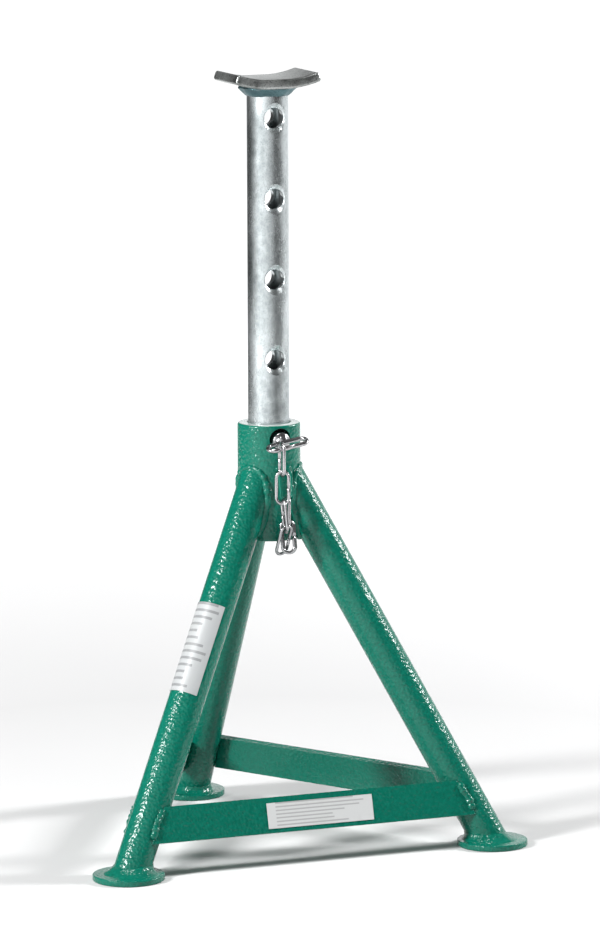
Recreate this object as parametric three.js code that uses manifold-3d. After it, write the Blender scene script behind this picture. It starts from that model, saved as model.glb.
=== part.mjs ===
// A pin-type axle stand: three splayed tube legs on a short sleeve, tied by flat braces,
// with a drilled post that a chained pin holds at one of five heights under a curved saddle.
// Millimetres, +Z up. The pin pulls out towards -Y and one leg points to +Y.
// The origin is on the floor, at the middle of the object's box.
import * as THREE from "three";
import { mergeVertices } from "three/addons/utils/BufferGeometryUtils.js";
import Module from "manifold-3d";

const wasm = await Module();
wasm.setup();

const GAP = 0.3; // kept between pieces that touch
const UP = new THREE.Vector3(0, 0, 1);

// Height adjustment: five holes through the post, one pitch apart
const HOLE_PITCH = 60;
const HOLE_COUNT = 5;
const LOWEST_HOLE_Z = 306;
const HOLE_RADIUS = 7.6;
const COUNTERSINK_RADIUS = 11.2;
const COUNTERSINK_DEPTH = 3;

// Post
const POST_RADIUS = 15.5;
const POST_BORE = 10;
const POST_BOTTOM_Z = 256;

// Sleeve
const SLEEVE_RADIUS = 23.5;
const SLEEVE_BORE = 16;
const SLEEVE_BOTTOM_Z = 231.2;
const SLEEVE_TOP_Z = 318.1;
const SLEEVE_EDGE = 1.6;
const PIN_HOLE_RADIUS = 8.2;
const PIN_HOLE_Z = 307.7;

// Legs: their axes meet at the apex on the post's axis
const LEG_RADIUS = 13.45;
const LEG_BORE = 10.2;
const LEG_APEX_Z = 301;
const FOOT_CIRCLE = 168;
const LEG_AZIMUTHS = { left: -150, right: -30, rear: 90 };

// Feet
const FOOT_RADIUS = 26.5;
const FOOT_THICKNESS = 4.5;
const FOOT_CHAMFER = 0.8;
const FOOT_WELD_SPREAD = 5.5;
const FOOT_WELD_HEIGHT = 7;

// Braces: flat bars that lie parallel to the plane of the two legs they join
const BRACE_THICKNESS = 5.8;
const BRACE_LOW_Z = 22.3; // heights on the leg axes that the bar's two edges line up with
const BRACE_HIGH_Z = 47.9;
const BRACE_FACE = 12.9; // outer face's distance from the plane of the leg axes
const BRACE_END = 2; // the slanted ends stop this short of the leg axes
const BRACES = { front: ["left", "right"], right: ["right", "rear"], left: ["rear", "left"] };
const BRACE_WELD_RADIUS = 4.2;
const BRACE_WELD_REACH = 5.5; // from the leg's axis towards the bar

// Saddle: a bent plate with a flat seat in the middle
const SADDLE_BOTTOM_Z = 568.1;
const SADDLE_THICKNESS = 7.2;
const SADDLE_WIDTH = 46.5;
const SADDLE_SEAT = 12;
const SADDLE_BEND_RADIUS = 74;
const SADDLE_BEND = 20.5; // degrees on each side of the seat
const SADDLE_WELD_RADIUS = 21.7;
const SADDLE_WELD_HEIGHT = 6.3;

// Locking pin: the shank runs from its handle end to the sleeve's bore
const PIN_RADIUS = 6.75;
const PIN_Z = 306.5;
const PIN_END_Y = -26.5;
const PIN_SHORT_OF_POST = 0.4;
const HANDLE_WIRE = 3.5;
const HANDLE_LENGTH = 34;
const HANDLE_WIDTH = 12;
const HANDLE_X = 1.3;
const HANDLE_ROLL = 10; // degrees that the handle is turned about the pin
const HANDLE_DROOP = 19; // degrees that its free side hangs below the pin's axis
const HANDLE_SPLIT = 0.7;
const HANDLE_STANDOFF = 1; // between the pin's end and the wire
const HANDLE_WELD = { root: 5.6, tip: 3.4, depth: 3.2 };

// Chain of split links
const LINK_WIRE = 2.4;
const LINK_LENGTH = 26.4;
const LINK_WIDTH = 11.5;
const LINK_SPLIT = 0.7;
// Each link: its centre, its turn about Z (0 faces -Y), its tilt back at the top, and its lean
// to the left at the top, in degrees
const CHAIN = [
  { at: [-4.7, -37.3, 295], turn: 90, tilt: 0, lean: 0 },
  { at: [-4.3, -37.4, 273.8], turn: -22, tilt: 0, lean: 0 },
  { at: [-3, -38.2, 252.7], turn: 85, tilt: 4, lean: -5 },
  { at: [-2, -34.1, 233.8], turn: 12, tilt: -23, lean: 0 },
  { at: [1.4, -33.2, 236.1], turn: -8, tilt: 9, lean: 2 },
  { at: [3.3, -30.8, 235.6], turn: -7, tilt: 9, lean: 2 },
  { at: [1.8, -30.5, 253.5], turn: 92, tilt: -2, lean: -1 },
];
// The eye is a painted loop: its top is by the sleeve, and its lower end stands away from it
const EYE = { at: [2.5, -27.6, 274], turn: 0, tilt: 11.8, lean: 0 };

// Labels: thin stickers with a plain face
const LABEL_THICKNESS = 0.4;
const LEG_LABEL = { low: 143, high: 213, around: 127, turn: -148 };
const BRACE_LABEL = { width: 84, height: 19, along: 5 };

const STEEL = { metalness: 1, roughness: 0.35 };
const PAINT = { color: 0x16806a, metalness: 0.1, roughness: 0.35 };
const ZINC = { color: 0xb9bcbe, ...STEEL };
const CHAIN_ZINC = { color: 0xd6d7da, ...STEEL };
const DARK_ZINC = { color: 0x6f7275, ...STEEL };
const STICKER = { color: 0xe4e6e8, metalness: 0, roughness: 0.5 };

const stand = new THREE.Group();
stand.position.y = -FOOT_CIRCLE / 4;

// A three.js geometry as a solid that can be joined or cut
function solidOf(geometry) {
  const bare = geometry.clone();
  bare.deleteAttribute("normal");
  bare.deleteAttribute("uv");
  const merged = mergeVertices(bare, 1e-3);
  return new wasm.Manifold(
    new wasm.Mesh({
      numProp: 3,
      vertProperties: merged.attributes.position.array,
      triVerts: new Uint32Array(merged.index.array),
    }),
  );
}

function geometryOf(solid) {
  const { vertProperties, triVerts } = solid.getMesh();
  return new THREE.BufferGeometry()
    .setAttribute("position", new THREE.BufferAttribute(vertProperties, 3))
    .setIndex(new THREE.BufferAttribute(triVerts, 1));
}

function cut(base, ...cutters) {
  return cutters.reduce((left, cutter) => left.subtract(cutter), base);
}

function addPiece(name, shape, look) {
  const geometry = shape.isBufferGeometry ? shape : geometryOf(shape);
  geometry.computeVertexNormals();
  const mesh = new THREE.Mesh(geometry, new THREE.MeshStandardMaterial(look));
  mesh.name = name;
  stand.add(mesh);
}

// A turned shape about Z from points [radius, z]
function turned(points, segments) {
  const profile = points.map(([radius, z]) => new THREE.Vector2(radius, z));
  return new THREE.LatheGeometry(profile, segments).rotateX(Math.PI / 2);
}

// A tube about Z, from its bottom to its top; the profile closes on itself
function tube(outer, bore, bottom, top, segments) {
  return turned([[bore, bottom], [outer, bottom], [outer, top], [bore, top], [bore, bottom]], segments);
}

// A solid rod about the line from one point to another
function rod(from, to, radius, segments) {
  const along = to.clone().sub(from);
  const turn = new THREE.Quaternion().setFromUnitVectors(UP, along.clone().normalize());
  return new THREE.CylinderGeometry(radius, radius, along.length(), segments)
    .rotateX(Math.PI / 2)
    .applyQuaternion(turn)
    .translate(...from.clone().add(to).multiplyScalar(0.5));
}

// A rod along Y at a height
function crossRod(radius, fromY, toY, z, segments) {
  return rod(new THREE.Vector3(0, fromY, z), new THREE.Vector3(0, toY, z), radius, segments);
}

// ---- Sleeve

function sleeveSolid() {
  const { cos, sin, PI } = Math;
  const edge = [0, 1, 2, 3].map((step) => [
    SLEEVE_RADIUS - SLEEVE_EDGE + SLEEVE_EDGE * cos((step * PI) / 6),
    SLEEVE_TOP_Z - SLEEVE_EDGE + SLEEVE_EDGE * sin((step * PI) / 6),
  ]);
  const profile = [
    [SLEEVE_BORE, SLEEVE_BOTTOM_Z],
    [SLEEVE_RADIUS, SLEEVE_BOTTOM_Z],
    ...edge,
    [SLEEVE_BORE, SLEEVE_TOP_Z],
    [SLEEVE_BORE, SLEEVE_BOTTOM_Z],
  ];
  const pinHole = crossRod(PIN_HOLE_RADIUS, -30, 30, PIN_HOLE_Z, 28);
  return cut(solidOf(turned(profile, 40)), solidOf(pinHole));
}

// The space that the sleeve takes up, with the gap around it
function sleeveRoom() {
  return solidOf(rod(new THREE.Vector3(0, 0, 200), new THREE.Vector3(0, 0, 340), SLEEVE_RADIUS + GAP, 40));
}

// ---- Post and saddle

function countersink(side, z) {
  const cone = new THREE.CylinderGeometry(HOLE_RADIUS, COUNTERSINK_RADIUS, COUNTERSINK_DEPTH, 28);
  if (side > 0) cone.rotateX(Math.PI);
  return cone.translate(0, side * (POST_RADIUS - COUNTERSINK_DEPTH / 2), z);
}

function postSolid() {
  let post = solidOf(tube(POST_RADIUS, POST_BORE, POST_BOTTOM_Z, SADDLE_BOTTOM_Z - GAP, 40));
  for (let hole = 0; hole < HOLE_COUNT; hole++) {
    const z = LOWEST_HOLE_Z + hole * HOLE_PITCH;
    const through = crossRod(HOLE_RADIUS, -20, 20, z, 28);
    post = cut(post, solidOf(through), solidOf(countersink(-1, z)), solidOf(countersink(1, z)));
  }
  return post;
}

// The bent plate's outline in XZ, grown on every side by a clearance
function saddleOutline(clearance) {
  const bend = THREE.MathUtils.degToRad(SADDLE_BEND);
  const inner = SADDLE_BEND_RADIUS - clearance;
  const outer = SADDLE_BEND_RADIUS + SADDLE_THICKNESS + clearance;
  const half = SADDLE_SEAT / 2;
  const outline = new THREE.Shape();
  outline.moveTo(-half, SADDLE_BEND_RADIUS - outer);
  outline.absarc(half, SADDLE_BEND_RADIUS, outer, -Math.PI / 2, bend - Math.PI / 2, false);
  outline.absarc(half, SADDLE_BEND_RADIUS, inner, bend - Math.PI / 2, -Math.PI / 2, true);
  outline.absarc(-half, SADDLE_BEND_RADIUS, inner, -Math.PI / 2, -Math.PI / 2 - bend, true);
  outline.absarc(-half, SADDLE_BEND_RADIUS, outer, -Math.PI / 2 - bend, -Math.PI / 2, false);
  return outline;
}

function saddlePlate(clearance) {
  const depth = SADDLE_WIDTH + 2 * clearance;
  return new THREE.ExtrudeGeometry(saddleOutline(clearance), { depth, bevelEnabled: false, curveSegments: 7 })
    .rotateX(Math.PI / 2)
    .translate(0, depth / 2, SADDLE_BOTTOM_Z + SADDLE_THICKNESS);
}

function saddleWeld() {
  const low = SADDLE_BOTTOM_Z - SADDLE_WELD_HEIGHT;
  const top = SADDLE_BOTTOM_Z + SADDLE_THICKNESS;
  const inner = POST_RADIUS + GAP;
  const ring = [
    [inner, low],
    [inner + 0.8, low],
    [SADDLE_WELD_RADIUS, SADDLE_BOTTOM_Z - 1.5],
    [SADDLE_WELD_RADIUS, top],
    [inner, top],
    [inner, low],
  ];
  return cut(solidOf(turned(ring, 40)), solidOf(saddlePlate(GAP)));
}

// ---- Legs and feet

function legPoint(azimuth, z) {
  const reach = (FOOT_CIRCLE * (LEG_APEX_Z - z)) / LEG_APEX_Z;
  const angle = THREE.MathUtils.degToRad(azimuth);
  return new THREE.Vector3(reach * Math.cos(angle), reach * Math.sin(angle), z);
}

function legRod(azimuth, radius, segments) {
  return solidOf(rod(legPoint(azimuth, -20), legPoint(azimuth, LEG_APEX_Z + 2), radius, segments));
}

// Everything below a height
function below(z) {
  return solidOf(new THREE.BoxGeometry(500, 500, 100).translate(0, 0, z - 50));
}

function legSolid(azimuth) {
  const outside = legRod(azimuth, LEG_RADIUS, 32);
  return cut(outside, legRod(azimuth, LEG_BORE, 24), sleeveRoom(), below(FOOT_THICKNESS + GAP));
}

function footDisc(azimuth) {
  const { x, y } = legPoint(azimuth, 0);
  const rim = FOOT_RADIUS - FOOT_CHAMFER;
  const profile = [
    [0, 0],
    [rim, 0],
    [FOOT_RADIUS, FOOT_CHAMFER],
    [FOOT_RADIUS, FOOT_THICKNESS - FOOT_CHAMFER],
    [rim, FOOT_THICKNESS],
    [0, FOOT_THICKNESS],
  ];
  return turned(profile, 36).translate(x, y, 0);
}

// A collar that flares from the leaning leg onto its foot
function footWeld(azimuth) {
  const base = FOOT_THICKNESS + GAP;
  const lean = Math.atan2(FOOT_CIRCLE, LEG_APEX_Z);
  const flare = new THREE.CylinderGeometry(LEG_RADIUS + 0.8, LEG_RADIUS + FOOT_WELD_SPREAD, FOOT_WELD_HEIGHT, 32)
    .rotateX(Math.PI / 2)
    .scale(1 / Math.cos(lean), 1, 1)
    .translate(0, 0, FOOT_WELD_HEIGHT / 2)
    .applyMatrix4(new THREE.Matrix4().makeShear(0, 0, 0, 0, -Math.tan(lean), 0))
    .rotateZ(THREE.MathUtils.degToRad(azimuth));
  const { x, y } = legPoint(azimuth, base);
  return cut(solidOf(flare.translate(x, y, base)), legRod(azimuth, LEG_RADIUS + GAP, 32));
}

// The bead where a leg meets the sleeve, open at the sleeve's lower edge
function legWeld(azimuth) {
  const throat = 3.6;
  const collar = rod(
    new THREE.Vector3(0, 0, SLEEVE_BOTTOM_Z),
    new THREE.Vector3(0, 0, SLEEVE_TOP_Z),
    SLEEVE_RADIUS + GAP + throat,
    40,
  );
  const around = legRod(azimuth, LEG_RADIUS + GAP + throat, 32);
  const farSide = new THREE.BoxGeometry(120, 240, 400)
    .translate(-60, 0, 200)
    .rotateZ(THREE.MathUtils.degToRad(azimuth));
  return cut(
    solidOf(collar).intersect(around),
    legRod(azimuth, LEG_RADIUS + GAP, 32),
    sleeveRoom(),
    solidOf(farSide),
  );
}

// ---- Braces

// The axes of a brace's own frame: along the bar, out of its face, and up its height
function braceFrame([from, to]) {
  const start = legPoint(LEG_AZIMUTHS[from], BRACE_LOW_Z);
  const end = legPoint(LEG_AZIMUTHS[to], BRACE_LOW_Z);
  const along = end.clone().sub(start).normalize();
  const middle = start.clone().add(end).multiplyScalar(0.5);
  const rise = new THREE.Vector3(0, 0, LEG_APEX_Z).sub(middle).normalize();
  const out = along.clone().cross(rise);
  return { middle, along, out, rise, half: end.distanceTo(start) / 2 };
}

function placeOnBrace(geometry, { middle, along, out, rise }) {
  const matrix = new THREE.Matrix4().makeBasis(along, rise, out).setPosition(middle);
  return geometry.applyMatrix4(matrix);
}

// The bar grown by a clearance, drawn in its own plane and thickened outwards
function braceBar(pair, clearance) {
  const frame = braceFrame(pair);
  const apex = Math.hypot(frame.middle.x, frame.middle.y, LEG_APEX_Z - BRACE_LOW_Z);
  const height = (apex * (BRACE_HIGH_Z - BRACE_LOW_Z)) / (LEG_APEX_Z - BRACE_LOW_Z);
  const taper = (frame.half * height) / apex;
  const low = frame.half - BRACE_END;
  const bar = new THREE.Shape();
  bar.moveTo(-low, -clearance);
  bar.lineTo(low, -clearance);
  bar.lineTo(low - taper, height + clearance);
  bar.lineTo(taper - low, height + clearance);
  const depth = BRACE_THICKNESS + 2 * clearance;
  const plate = new THREE.ExtrudeGeometry(bar, { depth, bevelEnabled: false })
    .translate(0, 0, BRACE_FACE - BRACE_THICKNESS - clearance);
  return solidOf(placeOnBrace(plate, frame));
}

function braceSolid(pair) {
  const legs = pair.map((leg) => legRod(LEG_AZIMUTHS[leg], LEG_RADIUS + GAP, 32));
  return cut(braceBar(pair, 0), ...legs);
}

// The bead that runs up one end of a brace, beside its leg
function braceWeld(pair, end) {
  const leg = LEG_AZIMUTHS[pair[end]];
  const { along, out } = braceFrame(pair);
  const inwards = along.clone().multiplyScalar(end === 0 ? BRACE_WELD_REACH : -BRACE_WELD_REACH);
  const offset = out.clone().multiplyScalar(BRACE_FACE).add(inwards);
  const from = legPoint(leg, BRACE_LOW_Z + 3).add(offset);
  const to = legPoint(leg, BRACE_HIGH_Z - 3).add(offset);
  const bead = solidOf(rod(from, to, BRACE_WELD_RADIUS, 14));
  return cut(bead, legRod(leg, LEG_RADIUS + GAP, 32), braceBar(pair, GAP));
}

// ---- Bent wire: chain links and the pin's handle

// A long loop with round ends, open by a split in the middle of one straight side
class SplitLoop extends THREE.Curve {
  constructor(length, width, wire, split) {
    super();
    this.bow = (width - wire) / 2;
    this.straight = (length - width) / 2;
    this.split = split;
    this.around = 4 * this.straight + 2 * Math.PI * this.bow;
  }

  getPoint(t, target = new THREE.Vector3()) {
    const { bow, straight, split, around } = this;
    let run = split / 2 + t * (around - split);
    const turn = Math.PI * bow;
    if (run < straight) return target.set(bow, 0, run);
    run -= straight;
    if (run < turn) return target.set(bow * Math.cos(run / bow), 0, straight + bow * Math.sin(run / bow));
    run -= turn;
    if (run < 2 * straight) return target.set(-bow, 0, straight - run);
    run -= 2 * straight;
    if (run < turn) return target.set(-bow * Math.cos(run / bow), 0, -straight - bow * Math.sin(run / bow));
    run -= turn;
    return target.set(bow, 0, run - straight);
  }
}

function bentWire(path, wire, steps, sides) {
  const section = new THREE.Shape();
  for (let side = 0; side < sides; side++) {
    const angle = (2 * Math.PI * side) / sides;
    const point = [(wire / 2) * Math.cos(angle), (wire / 2) * Math.sin(angle)];
    if (side === 0) section.moveTo(...point);
    else section.lineTo(...point);
  }
  return new THREE.ExtrudeGeometry(section, { steps, bevelEnabled: false, extrudePath: path });
}

function chainLink({ at, turn, tilt, lean }) {
  const { degToRad } = THREE.MathUtils;
  return bentWire(new SplitLoop(LINK_LENGTH, LINK_WIDTH, LINK_WIRE, LINK_SPLIT), LINK_WIRE, 24, 7)
    .rotateY(degToRad(-lean))
    .rotateX(degToRad(-tilt))
    .rotateZ(degToRad(turn))
    .translate(...at);
}

// ---- Locking pin

function pinShank() {
  const inner = -(POST_RADIUS + PIN_SHORT_OF_POST);
  return crossRod(PIN_RADIUS, PIN_END_Y, inner, PIN_Z, 28);
}

// The handle lies across the pin's end, one long side welded on and the other hanging free.
// Its wire is grown by a clearance
function handleRing(clearance) {
  const { degToRad } = THREE.MathUtils;
  const reach = (HANDLE_WIDTH - HANDLE_WIRE) / 2;
  const path = new SplitLoop(HANDLE_LENGTH, HANDLE_WIDTH, HANDLE_WIRE, HANDLE_SPLIT);
  return bentWire(path, HANDLE_WIRE + 2 * clearance, 26, 10)
    .rotateY(Math.PI / 2)
    .translate(0, 0, -reach)
    .rotateX(degToRad(HANDLE_DROOP - 90))
    .rotateY(degToRad(-HANDLE_ROLL))
    .translate(HANDLE_X, PIN_END_Y - HANDLE_STANDOFF - HANDLE_WIRE / 2, PIN_Z);
}

function handleWeld() {
  const { root, tip, depth } = HANDLE_WELD;
  const lump = new THREE.CylinderGeometry(root, tip, depth, 24).translate(0, PIN_END_Y - GAP - depth / 2, PIN_Z);
  return cut(solidOf(lump), solidOf(handleRing(GAP)));
}

// ---- Labels

// A sticker bent round the left leg, between two distances up its axis
function legLabel() {
  const { low, high, around, turn } = LEG_LABEL;
  const foot = legPoint(LEG_AZIMUTHS.left, 0);
  const along = legPoint(LEG_AZIMUTHS.left, 100).sub(foot).normalize();
  const upright = new THREE.Quaternion().setFromUnitVectors(UP, along);
  const start = THREE.MathUtils.degToRad(turn - around / 2);
  const sweep = THREE.MathUtils.degToRad(around);
  const inner = LEG_RADIUS + GAP;
  const outline = new THREE.Shape();
  outline.absarc(0, 0, inner + LABEL_THICKNESS, start, start + sweep, false);
  outline.absarc(0, 0, inner, start + sweep, start, true);
  return new THREE.ExtrudeGeometry(outline, { depth: high - low, bevelEnabled: false, curveSegments: 10 })
    .translate(0, 0, low)
    .applyQuaternion(upright)
    .translate(...foot);
}

function braceLabel() {
  const { width, height, along } = BRACE_LABEL;
  const middle = (BRACE_HIGH_Z - BRACE_LOW_Z) / 2;
  const sheet = new THREE.BoxGeometry(width, height, LABEL_THICKNESS)
    .translate(along, middle, BRACE_FACE + GAP + LABEL_THICKNESS / 2);
  return placeOnBrace(sheet, braceFrame(BRACES.front));
}

// ---- Assembly

addPiece("sleeve", sleeveSolid(), PAINT);
addPiece("post", postSolid(), ZINC);
addPiece("saddle", saddlePlate(0), DARK_ZINC);
addPiece("saddle_weld", saddleWeld(), ZINC);

for (const [side, azimuth] of Object.entries(LEG_AZIMUTHS)) {
  addPiece(`leg_${side}`, legSolid(azimuth), PAINT);
  addPiece(`leg_weld_${side}`, legWeld(azimuth), PAINT);
  addPiece(`foot_${side}`, footDisc(azimuth), PAINT);
  addPiece(`foot_weld_${side}`, footWeld(azimuth), PAINT);
}

for (const [side, pair] of Object.entries(BRACES)) {
  addPiece(`brace_${side}`, braceSolid(pair), PAINT);
  addPiece(`brace_weld_${side}_a`, braceWeld(pair, 0), PAINT);
  addPiece(`brace_weld_${side}_b`, braceWeld(pair, 1), PAINT);
}

addPiece("locking_pin", pinShank(), ZINC);
addPiece("pin_handle", handleRing(0), CHAIN_ZINC);
addPiece("handle_weld", handleWeld(), CHAIN_ZINC);
CHAIN.forEach((link, index) => addPiece(`chain_link_${index + 1}`, chainLink(link), CHAIN_ZINC));
addPiece("chain_eye", chainLink(EYE), PAINT);
addPiece("leg_label", legLabel(), STICKER);
addPiece("brace_label", braceLabel(), STICKER);

export default stand;
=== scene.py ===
"""Looks for a tripod axle stand: finer meshes, procedural materials, floor, light and camera.

Metres, in the part's own frame: +Z up, the locking pin pulls out towards -Y.
"""
import math

import bpy
from mathutils import Matrix, Vector, noise


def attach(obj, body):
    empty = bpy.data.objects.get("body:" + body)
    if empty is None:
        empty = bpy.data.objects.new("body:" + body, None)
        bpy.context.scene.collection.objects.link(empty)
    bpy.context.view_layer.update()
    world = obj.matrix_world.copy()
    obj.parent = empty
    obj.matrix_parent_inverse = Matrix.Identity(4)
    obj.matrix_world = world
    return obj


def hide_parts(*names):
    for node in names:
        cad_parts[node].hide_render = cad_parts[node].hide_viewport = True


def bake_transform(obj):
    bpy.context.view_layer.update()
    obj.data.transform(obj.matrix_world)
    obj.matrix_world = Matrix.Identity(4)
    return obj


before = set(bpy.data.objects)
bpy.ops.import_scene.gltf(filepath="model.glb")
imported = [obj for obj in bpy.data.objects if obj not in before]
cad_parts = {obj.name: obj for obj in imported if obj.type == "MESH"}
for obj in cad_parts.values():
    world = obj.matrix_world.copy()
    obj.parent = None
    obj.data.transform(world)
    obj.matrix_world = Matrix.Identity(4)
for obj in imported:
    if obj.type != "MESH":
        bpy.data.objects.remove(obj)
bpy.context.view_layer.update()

MM = 0.001
UP = Vector((0, 0, 1))

# Driving sizes of the stand, in millimetres until they are scaled
POST_AXIS = Vector((0, -42, 0)) * MM
GAP = 0.3 * MM

HOLE_PITCH = 60 * MM
HOLE_COUNT = 5
LOWEST_HOLE_Z = 306 * MM
HOLE_RADIUS = 7.6 * MM
COUNTERSINK_RADIUS = 11.2 * MM
COUNTERSINK_DEPTH = 3 * MM

POST_RADIUS = 15.5 * MM
POST_BORE = 10 * MM
POST_BOTTOM_Z = 256 * MM

SLEEVE_RADIUS = 23.5 * MM
SLEEVE_BORE = 16 * MM
SLEEVE_BOTTOM_Z = 231.2 * MM
SLEEVE_TOP_Z = 318.1 * MM
SLEEVE_EDGE = 1.8 * MM
PIN_HOLE_RADIUS = 8.2 * MM
PIN_HOLE_Z = 307.7 * MM

LEG_RADIUS = 13.45 * MM
LEG_BORE = 10.2 * MM
LEG_APEX_Z = 301 * MM
FOOT_CIRCLE = 168 * MM
LEG_LEAN = math.atan2(FOOT_CIRCLE, LEG_APEX_Z)
LEG_AZIMUTHS = {"left": -150, "right": -30, "rear": 90}

FOOT_RADIUS = 26.5 * MM
FOOT_THICKNESS = 4.5 * MM
FOOT_EDGE = 0.9 * MM

BRACE_LOW_Z = 22.3 * MM
BRACE_HIGH_Z = 47.9 * MM
BRACE_FACE = 12.9 * MM
BRACES = {"front": ("left", "right"), "right": ("right", "rear"), "left": ("rear", "left")}

SADDLE_BOTTOM_Z = 568.1 * MM
SADDLE_THICKNESS = 7.2 * MM
SADDLE_WIDTH = 46.5 * MM
SADDLE_SEAT = 12 * MM
SADDLE_BEND_RADIUS = 74 * MM
SADDLE_BEND = math.radians(20.5)
SADDLE_EDGE = 1.8 * MM
SADDLE_WELD_RADIUS = 21.7 * MM
SADDLE_WELD_HEIGHT = 6.3 * MM

PIN_RADIUS = 6.75 * MM
PIN_Z = 306.5 * MM
PIN_END_Y = -26.5 * MM
PIN_BACK_Y = 27 * MM
PIN_DOME = 1.4 * MM
HANDLE_WIRE = 3.5 * MM
HANDLE_LENGTH = 34 * MM
HANDLE_WIDTH = 12 * MM
HANDLE_X = 1.3 * MM
HANDLE_ROLL = math.radians(10)
HANDLE_DROOP = math.radians(19)
HANDLE_STANDOFF = 1 * MM

LINK_WIRE = 2.4 * MM
LINK_LENGTH = 26.4 * MM
LINK_WIDTH = 11.5 * MM
LINK_SPLIT = 0.7 * MM
# Each link: its centre in millimetres from the post's foot, its turn about Z, its tilt back at
# the top and its lean to the left at the top in degrees, and how far its top and bottom ends
# follow the pin. The places and turns weren't worked out from the sizes above: a random search
# moved a first guess until the links joined without touching
CHAIN = [
    {"at": (-4.7, -37.3, 295), "turn": 90, "tilt": 0, "lean": 0, "follow": (1, 0.84)},
    {"at": (-4.3, -37.4, 273.8), "turn": -22, "tilt": 0, "lean": 0, "follow": (0.84, 0.68)},
    {"at": (-3, -38.2, 252.7), "turn": 85, "tilt": 4, "lean": -5, "follow": (0.68, 0.52)},
    {"at": (-2, -34.1, 233.8), "turn": 12, "tilt": -23, "lean": 0, "follow": (0.52, 0.36)},
    {"at": (1.4, -33.2, 236.1), "turn": -8, "tilt": 9, "lean": 2, "follow": (0.18, 0.36)},
    {"at": (3.3, -30.8, 235.6), "turn": -7, "tilt": 9, "lean": 2, "follow": (0.18, 0.36)},
    {"at": (1.8, -30.5, 253.5), "turn": 92, "tilt": -2, "lean": -1, "follow": (0, 0.18)},
]
EYE = {"at": (2.5, -27.6, 274), "turn": 0, "tilt": 11.8, "lean": 0}
EYE_WELD_Z = 285.8 * MM
EYE_WELD_RADIUS = 1.9 * MM

LEG_LABEL = {"low": 143 * MM, "high": 213 * MM, "around": math.radians(127), "turn": math.radians(-148)}
BRACE_LABEL = {"width": 84 * MM, "height": 19 * MM, "along": 5 * MM}
LABEL_THICKNESS = 0.4 * MM

# The camera looks down at the stand from its front left
CAMERA_AZIMUTH = math.radians(-22.09)
CAMERA_PITCH = math.radians(9.22)
CAMERA_ROLL = math.radians(-0.2)
CAMERA_DISTANCE = 4300 * MM
CAMERA_AIM = (23.1 * MM, 283.9 * MM)
CAMERA_LENS = 222.3
CAMERA_SENSOR = 36

# The studio: softboxes by their turn from the camera, and panels as (turn, brightness) pairs
SOFTBOXES = {
    "left": {"azimuth": -55, "elevation": 24, "distance": 2.5, "size": (0.32, 0.7), "power": 92},
    "right": {"azimuth": 102, "elevation": 26, "distance": 2.5, "size": (0.3, 0.6), "power": 76},
    "top": {"azimuth": -20, "elevation": 72, "distance": 2.2, "size": (0.42, 0.42), "power": 17},
}
SURROUND_RADIUS = 1.7
SURROUND_STRENGTH = 1.3
SURROUND = [
    (-180, 1), (-160, 0.3), (-145, 0.04), (-105, 0.06), (-72, 0.4), (-40, 0.9), (-14, 0.95), (14, 0.45),
    (38, 0.05), (70, 0.05), (100, 0.4), (135, 0.7), (180, 1),
]
SURROUND_HEIGHTS = (0.01, 1.3)
FLOOR_HALF = 14
FLOOR_DROP = 0.1 * MM
FLOOR_GLOW = 0.04
WORLD_STRENGTH = 0.11
LIGHT_TARGET = Vector((0, 0, 0.25))

ROUND = 96
CREASE = 35

# Weld outlines in millimetres: how far each point stands out, and its height above the weld's foot
SADDLE_WELD_FLARE = [(1.3, 0.4), (3.2, 2.2), (4.9, 4.2)]
FOOT_WELD_FLARE = [(-0.5, 5.8), (0.2, 5.8), (0.9, 4.4), (1.8, 2.9), (3, 1.6), (4.3, 0.7), (5.2, 0), (-0.5, 0)]
# The handle's weld: its radius, and how far out from the pin's end
HANDLE_WELD = [(4.6, -0.2), (4.9, 0.9), (4.1, 2), (2.2, 2.9), (0.6, 3.1)]


# ---- Meshes

def add_object(name, points, faces, crease=CREASE):
    mesh = bpy.data.meshes.new(name)
    mesh.from_pydata([tuple(point) for point in points], [], faces)
    mesh.update()
    finish_shading(mesh, crease)
    made = bpy.data.objects.new(name, mesh)
    bpy.context.scene.collection.objects.link(made)
    return made


def finish_shading(mesh, crease):
    mesh.shade_smooth()
    mesh.set_sharp_from_angle(angle=math.radians(crease))


def loft(name, rings, wrap, crease=CREASE):
    """Joins rings of points. It wraps round to the first ring, or closes both ends with a face."""
    count = len(rings[0])
    points = [point for ring in rings for point in ring]
    faces = []
    steps = len(rings) if wrap else len(rings) - 1
    for step in range(steps):
        low = step * count
        high = ((step + 1) % len(rings)) * count
        for side in range(count):
            after = (side + 1) % count
            faces.append((low + side, low + after, high + after, high + side))
    if not wrap:
        faces.append(tuple(reversed(range(count))))
        faces.append(tuple(range(len(points) - count, len(points))))
    return add_object(name, points, faces, crease)


def circle_angles(count):
    return [2 * math.pi * step / count for step in range(count)]


def turned(name, profile, wrap, origin=POST_AXIS, segments=ROUND, crease=CREASE):
    """A turned shape about a vertical axis, from (radius, z) pairs."""
    rings = [
        [origin + Vector((radius * math.cos(a), radius * math.sin(a), z)) for a in circle_angles(segments)]
        for radius, z in profile
    ]
    return loft(name, rings, wrap, crease)


def cross_turned(name, profile, z, segments=64):
    """A turned shape about an axis along Y through the post, from (radius, y) pairs."""
    rings = [
        [
            POST_AXIS + Vector((radius * math.sin(a), y, z + radius * math.cos(a)))
            for a in circle_angles(segments)
        ]
        for radius, y in profile
    ]
    return loft(name, rings, wrap=False)


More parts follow.
